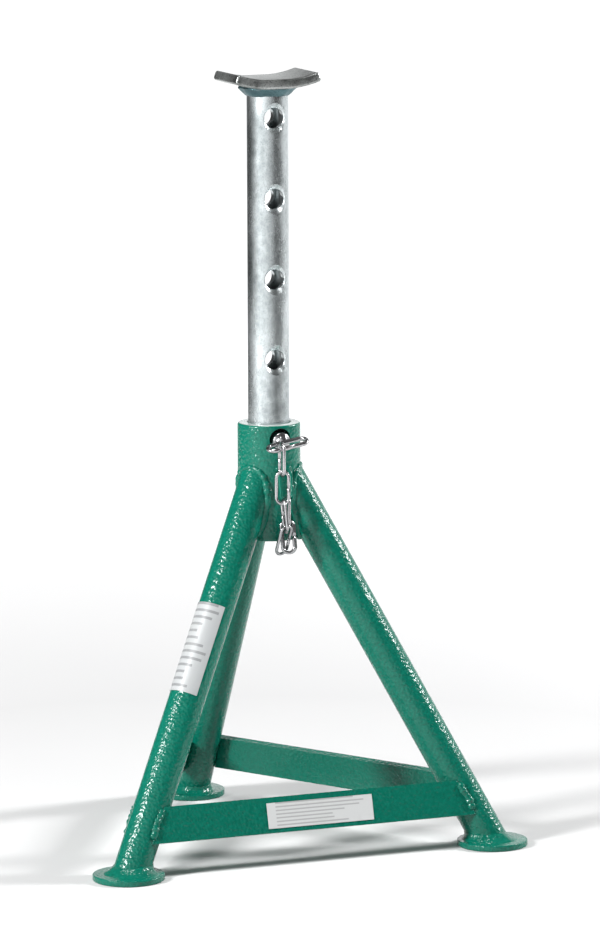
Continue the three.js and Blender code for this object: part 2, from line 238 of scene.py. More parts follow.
def ring_frame(points, index, closed, reference):
    """Two directions square to a path at one of its points, the first nearest to a reference."""
    last = len(points) - 1
    before = points[index - 1] if index or closed else points[0]
    after = points[(index + 1) % len(points)] if index < last or closed else points[last]
    along = (after - before).normalized()
    side = (reference - along * reference.dot(along)).normalized()
    return side, along.cross(side)


def sweep(name, points, radius_at, reference, closed, sides=20):
    """A round wire or bead along a path. radius_at gives its radius at each point's index."""
    rings = []
    for index, point in enumerate(points):
        side, up = ring_frame(points, index, closed, reference)
        radius = radius_at(index)
        rings.append([
            point + side * (radius * math.cos(a)) + up * (radius * math.sin(a))
            for a in circle_angles(sides)
        ])
    if not closed:
        rings.insert(0, shrunk(rings[0], points[0], points[0] - points[1]))
        rings.append(shrunk(rings[-1], points[-1], points[-1] - points[-2]))
    return loft(name, rings, wrap=closed, crease=50)


def shrunk(ring, centre, outward):
    """A smaller copy of a ring, pushed out past it to round off the end of a sweep."""
    push = outward.normalized() * ((ring[0] - centre).length * 0.3)
    return [centre + (point - centre) * 0.72 + push for point in ring]


def cut(target, cutter):
    """Takes the cutter's shape out of the target, and removes the cutter."""
    modifier = target.modifiers.new("cut", "BOOLEAN")
    modifier.operation = "DIFFERENCE"
    modifier.solver = "MANIFOLD"
    modifier.object = cutter
    shaped = target.evaluated_get(bpy.context.evaluated_depsgraph_get())
    mesh = bpy.data.meshes.new_from_object(shaped)
    target.modifiers.clear()
    target.data = mesh
    finish_shading(mesh, CREASE)
    bpy.data.objects.remove(cutter)


def roughened(obj, height, size):
    """Pushes each point along its normal by smooth noise, for weld metal."""
    for vertex in obj.data.vertices:
        push = noise.noise(vertex.co / size) * height
        vertex.co += vertex.normal * push
    obj.data.update()


# ---- Sleeve and post

def build_sleeve():
    steps = 6
    edge = [
        (
            SLEEVE_RADIUS - SLEEVE_EDGE + SLEEVE_EDGE * math.cos(math.pi / 2 * step / steps),
            SLEEVE_TOP_Z - SLEEVE_EDGE + SLEEVE_EDGE * math.sin(math.pi / 2 * step / steps),
        )
        for step in range(steps + 1)
    ]
    inner_edge = 0.6 * MM
    profile = [
        (SLEEVE_BORE, SLEEVE_BOTTOM_Z),
        (SLEEVE_RADIUS - inner_edge, SLEEVE_BOTTOM_Z),
        (SLEEVE_RADIUS, SLEEVE_BOTTOM_Z + inner_edge),
        *edge,
        (SLEEVE_BORE + inner_edge, SLEEVE_TOP_Z),
        (SLEEVE_BORE, SLEEVE_TOP_Z - inner_edge),
    ]
    sleeve = turned("fine_sleeve", profile, wrap=True)
    reach = 30 * MM
    cut(sleeve, cross_turned("hole", [(PIN_HOLE_RADIUS, -reach), (PIN_HOLE_RADIUS, reach)], PIN_HOLE_Z))
    return sleeve


def build_post():
    edge = 0.6 * MM
    top = SADDLE_BOTTOM_Z - GAP
    profile = [
        (POST_BORE, POST_BOTTOM_Z),
        (POST_RADIUS - edge, POST_BOTTOM_Z),
        (POST_RADIUS, POST_BOTTOM_Z + edge),
        (POST_RADIUS, top),
        (POST_BORE, top),
    ]
    post = turned("fine_post", profile, wrap=True)
    floor_y = POST_RADIUS - COUNTERSINK_DEPTH
    slope = (COUNTERSINK_RADIUS - HOLE_RADIUS) / COUNTERSINK_DEPTH
    reach = 19 * MM
    wide = HOLE_RADIUS + slope * (reach - floor_y)
    for hole in range(HOLE_COUNT):
        z = LOWEST_HOLE_Z + hole * HOLE_PITCH
        shape = [(wide, -reach), (HOLE_RADIUS, -floor_y), (HOLE_RADIUS, floor_y), (wide, reach)]
        cut(post, cross_turned("hole", shape, z))
    return post


# ---- Saddle

def saddle_stations():
    """Points along the middle of the plate, in XZ, each with the direction out of its top face."""
    middle = SADDLE_BEND_RADIUS + SADDLE_THICKNESS / 2
    half = SADDLE_SEAT / 2
    centre_z = SADDLE_BOTTOM_Z + SADDLE_THICKNESS + SADDLE_BEND_RADIUS
    steps = 11
    right = []
    for step in range(steps + 1):
        angle = SADDLE_BEND * step / steps
        out = Vector((-math.sin(angle), 0, math.cos(angle)))
        right.append((Vector((half, 0, centre_z)) - out * middle, out))
    left = [(Vector((-p.x, 0, p.z)), Vector((-out.x, 0, out.z))) for p, out in reversed(right)]
    return left + right


def plate_section(inset):
    """The plate's rounded outline, as pairs of distances along Y and through the thickness."""
    half_y = SADDLE_WIDTH / 2 - inset
    half_t = SADDLE_THICKNESS / 2 - inset
    radius = SADDLE_EDGE - inset * 0.5
    corners = [(1, 1), (-1, 1), (-1, -1), (1, -1)]
    steps = 5
    outline = []
    for index, (side_y, side_t) in enumerate(corners):
        for step in range(steps + 1):
            angle = math.pi / 2 * (index + step / steps)
            y = side_y * (half_y - radius) + radius * math.cos(angle)
            t = side_t * (half_t - radius) + radius * math.sin(angle)
            outline.append((y, t))
    return outline


def saddle_ring(middle, out, inset=0):
    return [middle + out * t + Vector((0, y, 0)) for y, t in plate_section(inset)]


def saddle_end(station, sign):
    """Rings that round off one end of the plate, from its full outline outwards."""
    point, out = station
    inward = Vector((out.z, 0, -out.x)) * sign
    rings = [saddle_ring(POST_AXIS + point + inward * SADDLE_EDGE, out)]
    steps = 4
    for step in range(1, steps + 1):
        angle = math.pi / 2 * step / steps
        inset = SADDLE_EDGE * (1 - math.cos(angle))
        push = SADDLE_EDGE * (math.sin(angle) - 1)
        rings.append(saddle_ring(POST_AXIS + point - inward * push, out, inset))
    return rings


def build_saddle():
    stations = saddle_stations()
    left = saddle_end(stations[0], 1)
    right = saddle_end(stations[-1], -1)
    between = [saddle_ring(POST_AXIS + point, out) for point, out in stations[1:-1]]
    return loft("fine_saddle", left[::-1] + between + right, wrap=False)


def build_saddle_weld():
    low = SADDLE_BOTTOM_Z - SADDLE_WELD_HEIGHT
    inner = POST_RADIUS - 0.3 * MM
    profile = [
        (inner, low),
        *((inner + spread * MM, low + height * MM) for spread, height in SADDLE_WELD_FLARE),
        (SADDLE_WELD_RADIUS, SADDLE_BOTTOM_Z - 0.4 * MM),
        (SADDLE_WELD_RADIUS - 0.6 * MM, SADDLE_BOTTOM_Z + 1.5 * MM),
        (inner, SADDLE_BOTTOM_Z + 1.5 * MM),
    ]
    weld = turned("fine_saddle_weld", profile, wrap=True, crease=60)
    roughened(weld, height=0.9 * MM, size=5 * MM)
    return weld


# ---- Legs and feet

def leg_axes(side):
    """Unit vectors across a leg, out of its top, and down it."""
    angle = math.radians(LEG_AZIMUTHS[side])
    away = Vector((math.cos(angle), math.sin(angle), 0))
    across = Vector((-math.sin(angle), math.cos(angle), 0))
    top = away * math.cos(LEG_LEAN) + UP * math.sin(LEG_LEAN)
    down = away * math.sin(LEG_LEAN) - UP * math.cos(LEG_LEAN)
    return across, top, down


def leg_point(side, distance, radius, angle):
    """A point on a leg, a distance down from its apex. A quarter turn of the angle is on top."""
    across, top, down = leg_axes(side)
    apex = POST_AXIS + UP * LEG_APEX_Z
    return apex + down * distance + across * (radius * math.cos(angle)) + top * (radius * math.sin(angle))


def distance_to_cylinder(radius, angle, cylinder):
    """How far down a leg its surface meets an upright cylinder about the post."""
    reach = math.sqrt(cylinder**2 - (radius * math.cos(angle))**2)
    return (reach - radius * math.sin(angle) * math.cos(LEG_LEAN)) / math.sin(LEG_LEAN)


def distance_to_height(radius, angle, z):
    return (LEG_APEX_Z - z + radius * math.sin(angle) * math.sin(LEG_LEAN)) / math.cos(LEG_LEAN)


def build_leg(side):
    edge = SLEEVE_RADIUS + GAP
    base = FOOT_THICKNESS + GAP
    rings = []
    for radius, order in ((LEG_RADIUS, 1), (LEG_BORE, -1)):
        shell = []
        steps = 24
        for step in range(steps + 1):
            share = step / steps
            ring = []
            for angle in circle_angles(ROUND):
                low = distance_to_height(radius, angle, base)
                high = distance_to_cylinder(radius, angle, edge)
                ring.append(leg_point(side, low + (high - low) * share, radius, angle))
            shell.append(ring)
        rings += shell[::order]
    return loft(f"fine_leg_{side}", rings, wrap=True)


def build_foot(side):
    steps = 5
    outline = []
    for z, direction in ((FOOT_EDGE, -1), (FOOT_THICKNESS - FOOT_EDGE, 1)):
        arc = []
        for step in range(steps + 1):
            angle = math.pi / 2 * step / steps
            radius = FOOT_RADIUS - FOOT_EDGE * (1 - math.cos(angle))
            arc.append((radius, z + direction * FOOT_EDGE * math.sin(angle)))
        outline += arc[::direction]
    angle = math.radians(LEG_AZIMUTHS[side])
    origin = POST_AXIS + Vector((math.cos(angle), math.sin(angle), 0)) * FOOT_CIRCLE
    return turned(f"fine_foot_{side}", outline, wrap=False, origin=origin)


def build_foot_weld(side):
    """Weld metal that flares from the leg onto its foot."""
    base = FOOT_THICKNESS - 0.2 * MM
    rings = []
    for spread, height in FOOT_WELD_FLARE:
        radius = LEG_RADIUS + spread * MM
        z = base + height * MM
        ring = []
        for angle in circle_angles(ROUND):
            ring.append(leg_point(side, distance_to_height(radius, angle, z), radius, angle))
        rings.append(ring)
    weld = loft(f"fine_foot_weld_{side}", rings, wrap=True, crease=80)
    roughened(weld, height=0.9 * MM, size=9 * MM)
    return weld


def bead_radius(radius, ripples, count, seed):
    """A weld bead's radius along its length: even ripples and some unevenness."""
    def at(index):
        share = index / count
        ripple = 0.035 * math.sin(2 * math.pi * ripples * share)
        turn = 2 * math.pi * share
        place = Vector((math.cos(turn), math.sin(turn), 0)) * ripples / 4
        uneven = 0.3 * noise.noise(place + Vector((0, 0, seed)))
        return radius * (1 + ripple + uneven)
    return at


def build_leg_weld(side):
    count = 150
    sunk = 0.5 * MM
    points = []
    for angle in circle_angles(count):
        distance = distance_to_cylinder(LEG_RADIUS - sunk, angle, SLEEVE_RADIUS - sunk)
        points.append(leg_point(side, distance, LEG_RADIUS - sunk, angle))
    uneven = bead_radius(3.3 * MM, 24, count, LEG_AZIMUTHS[side])

    def radius(index):
        height = math.sin(2 * math.pi * index / count)
        return uneven(index) * (1 - 0.42 * max(0, height) ** 2 + 0.2 * max(0, -height))

    down = leg_axes(side)[2]
    return sweep(f"fine_leg_weld_{side}", points, radius, down, closed=True, sides=24)


# ---- Braces

def brace_frame(name):
    start_leg, end_leg = BRACES[name]
    start = leg_point(start_leg, distance_to_height(0, 0, BRACE_LOW_Z), 0, 0)
    end = leg_point(end_leg, distance_to_height(0, 0, BRACE_LOW_Z), 0, 0)
    along = (end - start).normalized()
    middle = (start + end) / 2
    rise = (POST_AXIS + UP * LEG_APEX_Z - middle).normalized()
    return middle, along, along.cross(rise), rise


def build_brace_weld(name, end):
    _, along, out, _ = brace_frame(name)
    leg = BRACES[name][end]
    inward = along if end == 0 else -along
    offset = out * (BRACE_FACE - 1.4 * MM) + inward * (4.4 * MM)
    count = 60
    low = BRACE_LOW_Z + 3.5 * MM
    high = BRACE_HIGH_Z - 1.5 * MM
    points = []
    for step in range(count + 1):
        share = step / count
        z = low + (high - low) * share
        wander = inward * (0.5 * MM * math.sin(9 * share + end))
        points.append(leg_point(leg, distance_to_height(0, 0, z), 0, 0) + offset + wander)
    seed = 3 * end + len(name)
    uneven = bead_radius(3.2 * MM, 7, count, seed)

    def radius(index):
        return rounded_end(index, count) * uneven(index)

    return sweep(f"fine_brace_weld_{name}_{'ab'[end]}", points, radius, along, closed=False)


def rounded_end(index, count):
    """1 along a bead, falling off at its ends."""
    share = min(index, count - index) / (0.12 * count)
    return 1 if share >= 1 else 0.35 + 0.65 * math.sqrt(1 - (1 - share)**2)


# ---- Bent wire

def loop_path(length, width, wire, split):
    """A long loop in XZ with round ends, open at the middle of its +X side."""
    bow = (width - wire) / 2
    straight = (length - width) / 2
    points = [Vector((bow, 0, split / 2)), Vector((bow, 0, straight / 2)), Vector((bow, 0, straight))]
    steps = 24
    for step in range(1, steps + 1):
        angle = math.pi * step / steps
        points.append(Vector((bow * math.cos(angle), 0, straight + bow * math.sin(angle))))
    points.append(Vector((-bow, 0, 0)))
    for step in range(steps + 1):
        angle = math.pi * (1 + step / steps)
        points.append(Vector((bow * math.cos(angle), 0, -straight + bow * math.sin(angle))))
    points += [Vector((bow, 0, -straight / 2)), Vector((bow, 0, -split / 2))]
    return points


def build_wire_loop(name, placed, length, width, wire, split, sides=20):
    path = [placed @ point for point in loop_path(length, width, wire, split)]
    normal = placed.to_3x3() @ Vector((0, 1, 0))
    return sweep(name, path, lambda index: wire / 2, normal, closed=False, sides=sides)


def link_matrix(link):
    place = POST_AXIS + Vector(link["at"]) * MM
    turn = Matrix.Rotation(math.radians(link["turn"]), 4, "Z")
    tilt = Matrix.Rotation(-math.radians(link["tilt"]), 4, "X")
    lean = Matrix.Rotation(-math.radians(link["lean"]), 4, "Y")
    return Matrix.Translation(place) @ turn @ tilt @ lean


def build_link(name, link, split):
    return build_wire_loop(name, link_matrix(link), LINK_LENGTH, LINK_WIDTH, LINK_WIRE, split)


def hang_link(piece):
    """Bakes the link's placement into its mesh."""
    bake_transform(piece)


def build_eye_weld():
    """A short bead that holds the eye's top to the sleeve."""
    count = 24
    points = []
    for step in range(count + 1):
        angle = math.radians(-100 + 32 * step / count)
        radius = SLEEVE_RADIUS - 0.4 * MM
        points.append(POST_AXIS + Vector((radius * math.cos(angle), radius * math.sin(angle), EYE_WELD_Z)))
    uneven = bead_radius(EYE_WELD_RADIUS, 3, count, seed=5)

    def radius(index):
        return rounded_end(index, count) * uneven(index)

    return sweep("fine_eye_weld", points, radius, UP, closed=False)


# ---- Pin and handle

def build_pin():
    profile = [(0.001 * MM, PIN_END_Y - 0.5 * MM), (2.8 * MM, PIN_END_Y - 0.4 * MM)]
    steps = 6
    for step in range(steps + 1):
        inset = PIN_DOME * (1 - math.sin(math.pi / 2 * step / steps))
        profile.append((PIN_RADIUS - inset, PIN_END_Y + PIN_DOME * (step / steps)))
    profile += [(PIN_RADIUS, PIN_BACK_Y - PIN_DOME), (PIN_RADIUS - PIN_DOME, PIN_BACK_Y)]
    return cross_turned("fine_pin", profile, PIN_Z)


def handle_matrix():
    reach = (HANDLE_WIDTH - HANDLE_WIRE) / 2
    place = POST_AXIS + Vector((HANDLE_X, PIN_END_Y - HANDLE_STANDOFF - HANDLE_WIRE / 2, PIN_Z))
    roll = Matrix.Rotation(-HANDLE_ROLL, 4, "Y")
    droop = Matrix.Rotation(HANDLE_DROOP - math.pi / 2, 4, "X")
    lay = Matrix.Translation((0, 0, -reach)) @ Matrix.Rotation(math.pi / 2, 4, "Y")
    return Matrix.Translation(place) @ roll @ droop @ lay


def build_handle():
    size = (HANDLE_LENGTH, HANDLE_WIDTH, HANDLE_WIRE)
    return build_wire_loop("fine_handle", handle_matrix(), *size, split=0.4 * MM, sides=28)


def build_handle_weld():
    profile = [(radius * MM, PIN_END_Y - out * MM) for radius, out in HANDLE_WELD]
    weld = cross_turned("fine_handle_weld", profile, PIN_Z)
    roughened(weld, height=0.8 * MM, size=3 * MM)
    return weld


# ---- Labels

def add_sheet(name, rows):
    """A thin sheet from rows of (inner, outer) point pairs, with a UV map over its face."""
    columns = len(rows[0])
    inner = [pair[0] for row in rows for pair in row]
    outer = [pair[1] for row in rows for pair in row]
    size = len(inner)
    faces = []
    for row in range(len(rows) - 1):
        for column in range(columns - 1):
            a = row * columns + column
            b = a + 1
            c = b + columns
            d = a + columns
            faces.append((size + a, size + b, size + c, size + d))
            faces.append((a, d, c, b))
    border = list(range(columns))
    border += [row * columns + columns - 1 for row in range(1, len(rows))]
    border += [(len(rows) - 1) * columns + column for column in range(columns - 2, -1, -1)]
    border += [row * columns for row in range(len(rows) - 2, 0, -1)]
    for index, a in enumerate(border):
        b = border[(index + 1) % len(border)]
        faces.append((a, b, size + b, size + a))
    sheet = add_object(name, inner + outer, faces)
    layer = sheet.data.uv_layers.new(name="sheet")
    for loop in sheet.data.loops:
        index = loop.vertex_index % size
        layer.data[loop.index].uv = ((index % columns) / (columns - 1), (index // columns) / (len(rows) - 1))
    return sheet


def build_leg_label():
    down = leg_axes("left")[2]
    foot = leg_point("left", distance_to_height(0, 0, 0), 0, 0)
    upright = UP.rotation_difference(-down)
    rows = []
    steps = 24
    for row in range(steps + 1):
        height = LEG_LABEL["low"] + (LEG_LABEL["high"] - LEG_LABEL["low"]) * row / steps
        pairs = []
        for column in range(steps + 1):
            angle = LEG_LABEL["turn"] + LEG_LABEL["around"] * (column / steps - 0.5)
            out = upright @ Vector((math.cos(angle), math.sin(angle), 0))
            middle = foot - down * height
            near = LEG_RADIUS + 0.05 * MM
            pairs.append((middle + out * near, middle + out * (near + LABEL_THICKNESS)))
        rows.append(pairs)
    return add_sheet("fine_leg_label", rows)


def build_brace_label():
    middle, along, out, rise = brace_frame("front")
    lift = (BRACE_HIGH_Z - BRACE_LOW_Z) / 2
    rows = []
    steps_up = 4
    steps_along = 20
    for row in range(steps_up + 1):
        pairs = []
        for column in range(steps_along + 1):
            x = BRACE_LABEL["along"] + BRACE_LABEL["width"] * (column / steps_along - 0.5)
            y = lift + BRACE_LABEL["height"] * (row / steps_up - 0.5)
            base = middle + along * x + rise * y + out * (BRACE_FACE + 0.05 * MM)
            pairs.append((base, base + out * LABEL_THICKNESS))
        rows.append(pairs)
    return add_sheet("fine_brace_label", rows)


# ---- Materials

DEEP_GREEN = (0.0005, 0.1, 0.066, 1)
GREEN = (0.0008, 0.15, 0.1, 1)
LIGHT_GREEN = (0.0015, 0.17, 0.116, 1)
WORN_GREEN = (0.12, 0.18, 0.15, 1)
# Light grey for the sleeve's top face: a painted sheen where the flat top catches the light
TOP_FACE_SHEEN = (0.42, 0.47, 0.46, 1)
WORN_ZINC = (0.85, 0.86, 0.87, 1)
DIRT = (0.35, 0.36, 0.33, 1)

# Zinc coats: dark and light tones, roughness, the scale of the patches, how much the streaks are
# drawn out, and how strong the dents and the dark specks are
ZINCS = {
    "galvanised_steel": {
        "dark": (0.34, 0.38, 0.385, 1), "light": (0.82, 0.87, 0.88, 1),
        "rough": (0.2, 0.34), "spangle": 190, "streak": 0.35, "dent": 0.3, "speck": 0.55,
    },
    "dark_zinc": {
        "dark": (0.11, 0.12, 0.115, 1), "light": (0.58, 0.6, 0.59, 1),
        "rough": (0.3, 0.44), "spangle": 240, "streak": 1.0, "dent": 0.8, "speck": 0.85,
    },
    # The saddle weld's dark teal tones are painted shade from the saddle plate above, with a painted
    # reflection of the green frame
    "weld_zinc": {
        "dark": (0.03, 0.07, 0.08, 1), "light": (0.14, 0.24, 0.26, 1),
        "rough": (0.3, 0.5), "spangle": 200, "streak": 1.0, "dent": 0.2, "speck": 0.5,
    },
    "bright_zinc": {
        "dark": (0.3, 0.3, 0.31, 1), "light": (0.55, 0.55, 0.56, 1),
        "rough": (0.14, 0.26), "spangle": 500, "streak": 1.0, "dent": 0.1, "speck": 0.5,
    },
}

# Stickers: the face and its bars, how many bars, and their shortest and longest share of the width
STICKERS = {
    "leg_label": {
        "face": (0.4, 0.415, 0.42, 1), "ink": (0.06, 0.06, 0.065, 1), "lines": 13, "low": 0.5, "high": 0.9,
    },
    "brace_label": {
        "face": (0.56, 0.57, 0.57, 1), "ink": (0.16, 0.16, 0.17, 1), "lines": 7, "low": 0.6, "high": 0.92,
    },
}


def start_material(name):
    made = bpy.data.materials.new(name)
    made.use_nodes = True
    tree = made.node_tree
    return made, tree, tree.nodes["Principled BSDF"]


def node(tree, kind, inputs=None, **settings):
    """Adds a node. An input that is a socket is linked, and anything else is set."""
    made = tree.nodes.new(kind)
    for key, value in settings.items():
        setattr(made, key, value)
    for key, value in (inputs or {}).items():
        if isinstance(value, bpy.types.NodeSocket):
            tree.links.new(value, made.inputs[key])
        else:
            made.inputs[key].default_value = value
    return made


def math_node(tree, operation, first, second=0.0, clamp=False):
    made = node(tree, "ShaderNodeMath", {0: first, 1: second}, operation=operation, use_clamp=clamp)
    return made.outputs[0]


def object_point(tree, stretch=(1, 1, 1)):
    coordinates = node(tree, "ShaderNodeTexCoord").outputs["Object"]
    return node(tree, "ShaderNodeMapping", {"Vector": coordinates, "Scale": stretch}).outputs[0]


def noise_at(tree, vector, scale, detail=3.0, roughness=0.5):
    inputs = {"Vector": vector, "Scale": scale, "Detail": detail, "Roughness": roughness}
    return node(tree, "ShaderNodeTexNoise", inputs).outputs[0]


def cells_at(tree, vector, scale, feature="SMOOTH_F1"):
    return node(tree, "ShaderNodeTexVoronoi", {"Vector": vector, "Scale": scale}, feature=feature).outputs[0]


def spread(tree, value, low, high, to_low=0.0, to_high=1.0):
    inputs = {"Value": value, "From Min": low, "From Max": high, "To Min": to_low, "To Max": to_high}
    return node(tree, "ShaderNodeMapRange", inputs).outputs[0]


def blend_colors(tree, share, first, second):
    made = node(tree, "ShaderNodeMix", {0: share, 6: first, 7: second}, data_type="RGBA")
    return made.outputs[2]


def bump(tree, height, strength, distance, normal=None):
    inputs = {"Height": height, "Strength": strength, "Distance": distance}
    if normal is not None:
        inputs["Normal"] = normal
    return node(tree, "ShaderNodeBump", inputs).outputs[0]


def rounded_normal(tree, radius):
    return node(tree, "ShaderNodeBevel", {"Radius": radius}, samples=6).outputs[0]


def edge_mask(tree, radius, low, high):
    """1 where the surface turns sharply, 0 on plain faces."""
    plain = node(tree, "ShaderNodeNewGeometry").outputs["Normal"]
    soft = rounded_normal(tree, radius)
    dot = node(tree, "ShaderNodeVectorMath", {0: plain, 1: soft}, operation="DOT_PRODUCT").outputs["Value"]
    return spread(tree, dot, high, low)


def link_all(tree, shader, sockets):
    for key, value in sockets.items():
        if isinstance(value, bpy.types.NodeSocket):
            tree.links.new(value, shader.inputs[key])
        else:
            shader.inputs[key].default_value = value


def green_paint():
    """Thick green enamel with a hammered, orange-peel surface."""
    made, tree, shader = start_material("green_paint")
    point = object_point(tree)
    mottle = noise_at(tree, point, 420, detail=4)
    broad = noise_at(tree, point, 16)
    color = blend_colors(tree, spread(tree, mottle, 0.2, 0.8), DEEP_GREEN, GREEN)
    color = blend_colors(tree, spread(tree, broad, 0.4, 0.75, 0, 0.2), color, LIGHT_GREEN)
    wear = math_node(tree, "MULTIPLY", edge_mask(tree, 0.7 * MM, 0.86, 0.97), spread(tree, mottle, 0.5, 0.62))
    color = blend_colors(tree, math_node(tree, "MULTIPLY", wear, 0.3), color, WORN_GREEN)
    # The sleeve's top face gets a painted sheen of light grey over the green
    height = node(tree, "ShaderNodeSeparateXYZ", {0: point}).outputs[2]
    top_sheen = spread(tree, height, SLEEVE_TOP_Z - 0.4 * MM, SLEEVE_TOP_Z - 0.1 * MM)
    color = blend_colors(tree, top_sheen, color, TOP_FACE_SHEEN)
    lumps = cells_at(tree, point, 480)
    fine = noise_at(tree, point, 800, detail=2)
    normal = bump(tree, lumps, 0.62, 0.8 * MM, rounded_normal(tree, 0.5 * MM))
    normal = bump(tree, fine, 0.35, 0.3 * MM, normal)
    link_all(tree, shader, {
        "Base Color": color,
        "Roughness": spread(tree, mottle, 0.3, 0.7, 0.14, 0.26),
        "Specular IOR Level": 0.4,
        "Normal": normal,
    })
    return made


def zinc(name, dark, light, rough, spangle, streak, dent, speck):
    """Zinc-coated steel with patches, fine streaks and worn edges."""
    made, tree, shader = start_material(name)
    point = object_point(tree)
    long_point = object_point(tree, (1, 1, streak))
    patches = cells_at(tree, point, spangle, "F1")
    grain = noise_at(tree, long_point, 420, detail=4)
    stain = noise_at(tree, long_point, 45, detail=5, roughness=0.6)
    color = blend_colors(tree, spread(tree, stain, 0.3, 0.7), dark, light)
    color = blend_colors(tree, spread(tree, patches, 0.2, 0.9, 0, 0.35), color, light)
    specks = noise_at(tree, point, 900, detail=3, roughness=0.7)
    color = blend_colors(tree, spread(tree, specks, 0.5, 0.68, 0, speck), color, dark)
    worn = math_node(tree, "MULTIPLY", edge_mask(tree, 0.5 * MM, 0.86, 0.97), spread(tree, grain, 0.4, 0.6))
    color = blend_colors(tree, math_node(tree, "MULTIPLY", worn, 0.5), color, WORN_ZINC)
    gloss = spread(tree, stain, 0.3, 0.7, *rough)
    normal = bump(tree, stain, dent, 0.3 * MM, rounded_normal(tree, 0.4 * MM))
    normal = bump(tree, grain, 0.12, 0.1 * MM, normal)
    link_all(tree, shader, {"Base Color": color, "Metallic": 1.0, "Roughness": gloss, "Normal": normal})
    return made


def ruled_lines(tree, across, along, lines, low, high):
    """Grey bars like lines of print, as a mask over part of a sheet."""
    row = math_node(tree, "FRACT", math_node(tree, "MULTIPLY", along, lines))
    bar = math_node(tree, "GREATER_THAN", row, 0.62)
    row_index = math_node(tree, "FLOOR", math_node(tree, "MULTIPLY", along, lines))
    wave = math_node(tree, "SINE", math_node(tree, "MULTIPLY", row_index, 5.3))
    length = spread(tree, wave, -1, 1, low, high)
    inside = math_node(tree, "LESS_THAN", across, length)
    begun = math_node(tree, "GREATER_THAN", across, 0.08)
    return math_node(tree, "MULTIPLY", math_node(tree, "MULTIPLY", bar, inside), begun)


def sticker(name, face, ink, lines, low, high):
    """A printed sticker with plain bars in place of text, scuffed and a little dirty."""
    made, tree, shader = start_material(name)
    uv = node(tree, "ShaderNodeUVMap", uv_map="sheet").outputs[0]
    parts = node(tree, "ShaderNodeSeparateXYZ", {0: uv})
    point = object_point(tree)
    dirt = noise_at(tree, point, 70, detail=6, roughness=0.65)
    mask = ruled_lines(tree, parts.outputs[0], parts.outputs[1], lines, low, high)
    color = blend_colors(tree, math_node(tree, "MULTIPLY", mask, 0.5), face, ink)
    color = blend_colors(tree, spread(tree, dirt, 0.5, 0.8, 0, 0.3), color, DIRT)
    link_all(tree, shader, {
        "Base Color": color,
        "Roughness": spread(tree, dirt, 0.3, 0.7, 0.3, 0.55),
        "Normal": bump(tree, noise_at(tree, point, 160), 0.15, 0.2 * MM),
    })
    return made


def floor_material():
    """Pale floor that brightens away from the stand, as a lit sweep does."""
    made, tree, shader = start_material("floor")
    point = object_point(tree)
    tone = blend_colors(tree, noise_at(tree, point, 3), (0.61, 0.61, 0.615, 1), (0.64, 0.64, 0.64, 1))
    away = node(tree, "ShaderNodeVectorMath", {0: point}, operation="LENGTH").outputs["Value"]
    link_all(tree, shader, {
        "Base Color": tone,
        "Roughness": 0.7,
        "Specular IOR Level": 0.0,
        "Emission Color": (1, 1, 1, 1),
        "Emission Strength": spread(tree, away, 0.5, 2.2, FLOOR_GLOW, 1.0),
    })
    return made


def surround_material():
    """Bright and dark panels round the stand, seen only in its reflections."""
    made, tree, _ = start_material("surround")
    tree.nodes.clear()
    parts = node(tree, "ShaderNodeSeparateXYZ", {0: object_point(tree)})
    turn = math_node(tree, "ARCTAN2", parts.outputs[0], math_node(tree, "MULTIPLY", parts.outputs[1], -1))
    share = spread(tree, turn, -math.pi, math.pi)
    ramp = node(tree, "ShaderNodeValToRGB", {0: share})
    stops = ramp.color_ramp.elements
    while len(stops) < len(SURROUND):
        stops.new(0.5)
    for stop, (azimuth, tone) in zip(stops, SURROUND):
        stop.position = (azimuth + 180) / 360
        stop.color = (tone, tone * 1.01, tone * 1.02, 1)
    glow = node(tree, "ShaderNodeEmission", {0: ramp.outputs[0], 1: SURROUND_STRENGTH})
    output = node(tree, "ShaderNodeOutputMaterial")
    tree.links.new(glow.outputs[0], output.inputs[0])
    return made


def make_materials():
    made = {"green_paint": green_paint()}
    for name, look in ZINCS.items():
        made[name] = zinc(name, **look)
    for name, look in STICKERS.items():
        made[name] = sticker(name, **look)
    return made


# ---- Assembly

def show(piece, body, node_name, material):
    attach(piece, body)
    finish_piece(piece, node_name, material)


def finish_piece(piece, node_name, material):
    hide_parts(node_name)
    piece.data.materials.clear()
    piece.data.materials.append(material)


def dress_frame(materials):
    paint = materials["green_paint"]
    show(build_sleeve(), "frame", "sleeve", paint)
    for side in LEG_AZIMUTHS:
        show(build_leg(side), "frame", f"leg_{side}", paint)
        show(build_foot(side), "frame", f"foot_{side}", paint)
        show(build_foot_weld(side), "frame", f"foot_weld_{side}", paint)
        show(build_leg_weld(side), "frame", f"leg_weld_{side}", paint)
    for name in BRACES:
        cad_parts[f"brace_{name}"].data.materials.clear()
        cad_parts[f"brace_{name}"].data.materials.append(paint)
        for end in (0, 1):
            weld = build_brace_weld(name, end)
            show(weld, "frame", f"brace_weld_{name}_{'ab'[end]}", paint)
    show(build_link("fine_eye", EYE, 0.2 * MM), "frame", "chain_eye", paint)
    show(build_eye_weld(), "frame", "chain_eye", paint)
    show(build_leg_label(), "frame", "leg_label", materials["leg_label"])
    show(build_brace_label(), "frame", "brace_label", materials["brace_label"])


def dress_post(materials):
    galvanised = materials["galvanised_steel"]
    show(build_post(), "post", "post", galvanised)
    show(build_saddle(), "post", "saddle", materials["dark_zinc"])
    show(build_saddle_weld(), "post", "saddle_weld", materials["weld_zinc"])


def dress_pin(materials):
    bright = materials["bright_zinc"]
    show(build_pin(), "pin", "locking_pin", bright)
    show(build_handle(), "pin", "pin_handle", bright)
    show(build_handle_weld(), "pin", "handle_weld", bright)


def dress_chain(materials):
    for index, link in enumerate(CHAIN):
        piece = build_link(f"fine_link_{index + 1}", link, LINK_SPLIT)
        hang_link(piece)
        finish_piece(piece, f"chain_link_{index + 1}", materials["bright_zinc"])


# ---- Studio

